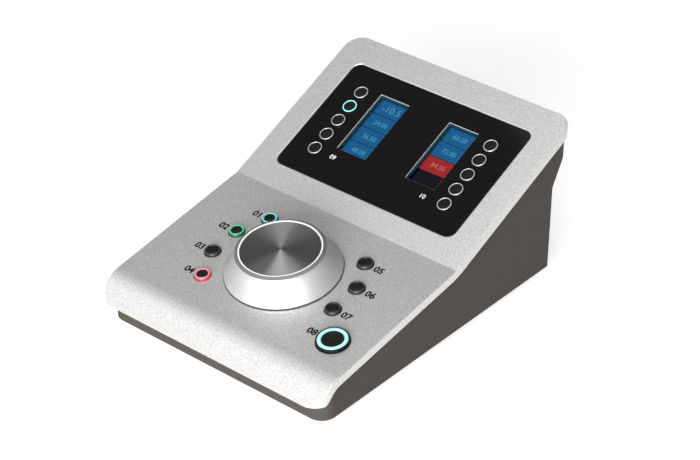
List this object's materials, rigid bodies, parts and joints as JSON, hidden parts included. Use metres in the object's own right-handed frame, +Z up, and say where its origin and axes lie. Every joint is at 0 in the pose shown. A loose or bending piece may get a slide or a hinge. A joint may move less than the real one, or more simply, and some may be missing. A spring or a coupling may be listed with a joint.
{
  "type": "studio monitor controller",
  "caption": "Desktop monitor controller: sloped silver cover on a dark wedge base, round push buttons about a large flared knob, and a black panel with displays and side keys.",
  "frame": {"origin": "middle of the box on the surface that the four feet stand on", "axes": "+X to the user's right, +Y from the front edge to the back, +Z up"},
  "size_m": [0.1512, 0.2088, 0.0899],
  "materials": {
    "cover_silver": "fine-grained satin silver",
    "base_shell": "matte dark grey with a very fine grain",
    "bottom_plate": "matte black",
    "display_lens": "polished black",
    "display_glass": "lit display behind clear glass",
    "microphone": "satin",
    "knob_body": "satin turned",
    "knob_disc": "spun, with fine circular turning lines",
    "bright_steel": "satin",
    "encoder_body": "matte black",
    "talk_bezel": "satin black",
    "talk_light": "translucent, lit pale cyan",
    "ring_cyan": "translucent, lit cyan",
    "ring_green": "translucent, lit green",
    "ring_red": "translucent, lit pink-red",
    "ring_unlit": "dark smoked, unlit",
    "button_cap": "satin black",
    "key_cap": "satin black with a pale rim",
    "key_lit": "black with a rim lit cyan",
    "circuit_board": "green solder mask",
    "flat_cable": "ribbed grey",
    "socket": "matte black",
    "foot_rubber": "matte black",
    "screw_steel": "blackened"
  },
  "bodies": {
    "case": {"top_cover": "cover_silver", "base_housing": "base_shell", "bottom_plate": "bottom_plate", "display_lens": "display_lens", "left_display": "display_glass", "right_display": "display_glass", "microphone": "microphone", "encoder_body": "encoder_body", "encoder_nut": "bright_steel", "talk_bezel": "talk_bezel", "talk_ring": "talk_light", "display_board": "circuit_board", "control_board": "circuit_board", "main_board": "circuit_board", "control_ribbon": "flat_cable", "display_ribbon": "flat_cable", "network_jack": "socket", "power_inlet": "socket", "left_button_1_ring": "ring_cyan", "left_button_2_ring": "ring_green", "left_button_3_ring": "ring_unlit", "left_button_4_ring": "ring_red", "right_button_1_ring": "ring_unlit", "right_button_2_ring": "ring_unlit", "right_button_3_ring": "ring_unlit", "foot_front_left": "foot_rubber", "foot_back_left": "foot_rubber", "foot_front_right": "foot_rubber", "foot_back_right": "foot_rubber", "base_screw_front_left": "screw_steel", "base_screw_back_left": "screw_steel", "base_screw_front_right": "screw_steel", "base_screw_back_right": "screw_steel", "board_screw_front_left": "screw_steel", "board_screw_back_left": "screw_steel", "board_screw_front_right": "screw_steel", "board_screw_back_right": "screw_steel"},
    "knob": {"knob_body": "knob_body", "knob_disc": "knob_disc", "encoder_shaft": "bright_steel"},
    "left_button_1": {"left_button_1": "button_cap"},
    "left_button_2": {"left_button_2": "button_cap"},
    "left_button_3": {"left_button_3": "button_cap"},
    "left_button_4": {"left_button_4": "button_cap"},
    "right_button_1": {"right_button_1": "button_cap"},
    "right_button_2": {"right_button_2": "button_cap"},
    "right_button_3": {"right_button_3": "button_cap"},
    "talk_button": {"talk_button": "button_cap"},
    "left_key_1": {"left_key_1": "key_cap"},
    "left_key_2": {"left_key_2": "key_lit"},
    "left_key_3": {"left_key_3": "key_cap"},
    "left_key_4": {"left_key_4": "key_cap"},
    "left_key_5": {"left_key_5": "key_cap"},
    "right_key_1": {"right_key_1": "key_cap"},
    "right_key_2": {"right_key_2": "key_cap"},
    "right_key_3": {"right_key_3": "key_cap"},
    "right_key_4": {"right_key_4": "key_cap"},
    "right_key_5": {"right_key_5": "key_cap"}
  },
  "joints": [
    {"name": "knob_spin", "type": "hinge", "parent": "case", "child": "knob", "pos_m": [0, -0.04405, 0.04182], "axis": [0, -0.1702, 0.9854], "continuous": true},
    {"name": "left_button_1_press", "type": "slide", "parent": "case", "child": "left_button_1", "axis": [0, 0.1702, -0.9854], "range_m": [0, 0.0006], "stiffness_N_per_m": 1500},
    {"name": "left_button_2_press", "type": "slide", "parent": "case", "child": "left_button_2", "axis": [0, 0.1702, -0.9854], "range_m": [0, 0.0006], "stiffness_N_per_m": 1500},
    {"name": "left_button_3_press", "type": "slide", "parent": "case", "child": "left_button_3", "axis": [0, 0.1702, -0.9854], "range_m": [0, 0.0006], "stiffness_N_per_m": 1500},
    {"name": "left_button_4_press", "type": "slide", "parent": "case", "child": "left_button_4", "axis": [0, 0.1702, -0.9854], "range_m": [0, 0.0006], "stiffness_N_per_m": 1500},
    {"name": "right_button_1_press", "type": "slide", "parent": "case", "child": "right_button_1", "axis": [0, 0.1702, -0.9854], "range_m": [0, 0.0006], "stiffness_N_per_m": 1500},
    {"name": "right_button_2_press", "type": "slide", "parent": "case", "child": "right_button_2", "axis": [0, 0.1702, -0.9854], "range_m": [0, 0.0006], "stiffness_N_per_m": 1500},
    {"name": "right_button_3_press", "type": "slide", "parent": "case", "child": "right_button_3", "axis": [0, 0.1702, -0.9854], "range_m": [0, 0.0006], "stiffness_N_per_m": 1500},
    {"name": "talk_button_press", "type": "slide", "parent": "case", "child": "talk_button", "axis": [0, 0.1702, -0.9854], "range_m": [0, 0.0008], "stiffness_N_per_m": 1200},
    {"name": "left_key_1_press", "type": "slide", "parent": "case", "child": "left_key_1", "axis": [0, 0.4163, -0.9092], "range_m": [0, 0.0005], "stiffness_N_per_m": 1800},
    {"name": "left_key_2_press", "type": "slide", "parent": "case", "child": "left_key_2", "axis": [0, 0.4163, -0.9092], "range_m": [0, 0.0005], "stiffness_N_per_m": 1800},
    {"name": "left_key_3_press", "type": "slide", "parent": "case", "child": "left_key_3", "axis": [0, 0.4163, -0.9092], "range_m": [0, 0.0005], "stiffness_N_per_m": 1800},
    {"name": "left_key_4_press", "type": "slide", "parent": "case", "child": "left_key_4", "axis": [0, 0.4163, -0.9092], "range_m": [0, 0.0005], "stiffness_N_per_m": 1800},
    {"name": "left_key_5_press", "type": "slide", "parent": "case", "child": "left_key_5", "axis": [0, 0.4163, -0.9092], "range_m": [0, 0.0005], "stiffness_N_per_m": 1800},
    {"name": "right_key_1_press", "type": "slide", "parent": "case", "child": "right_key_1", "axis": [0, 0.4163, -0.9092], "range_m": [0, 0.0005], "stiffness_N_per_m": 1800},
    {"name": "right_key_2_press", "type": "slide", "parent": "case", "child": "right_key_2", "axis": [0, 0.4163, -0.9092], "range_m": [0, 0.0005], "stiffness_N_per_m": 1800},
    {"name": "right_key_3_press", "type": "slide", "parent": "case", "child": "right_key_3", "axis": [0, 0.4163, -0.9092], "range_m": [0, 0.0005], "stiffness_N_per_m": 1800},
    {"name": "right_key_4_press", "type": "slide", "parent": "case", "child": "right_key_4", "axis": [0, 0.4163, -0.9092], "range_m": [0, 0.0005], "stiffness_N_per_m": 1800},
    {"name": "right_key_5_press", "type": "slide", "parent": "case", "child": "right_key_5", "axis": [0, 0.4163, -0.9092], "range_m": [0, 0.0005], "stiffness_N_per_m": 1800}
  ]
}
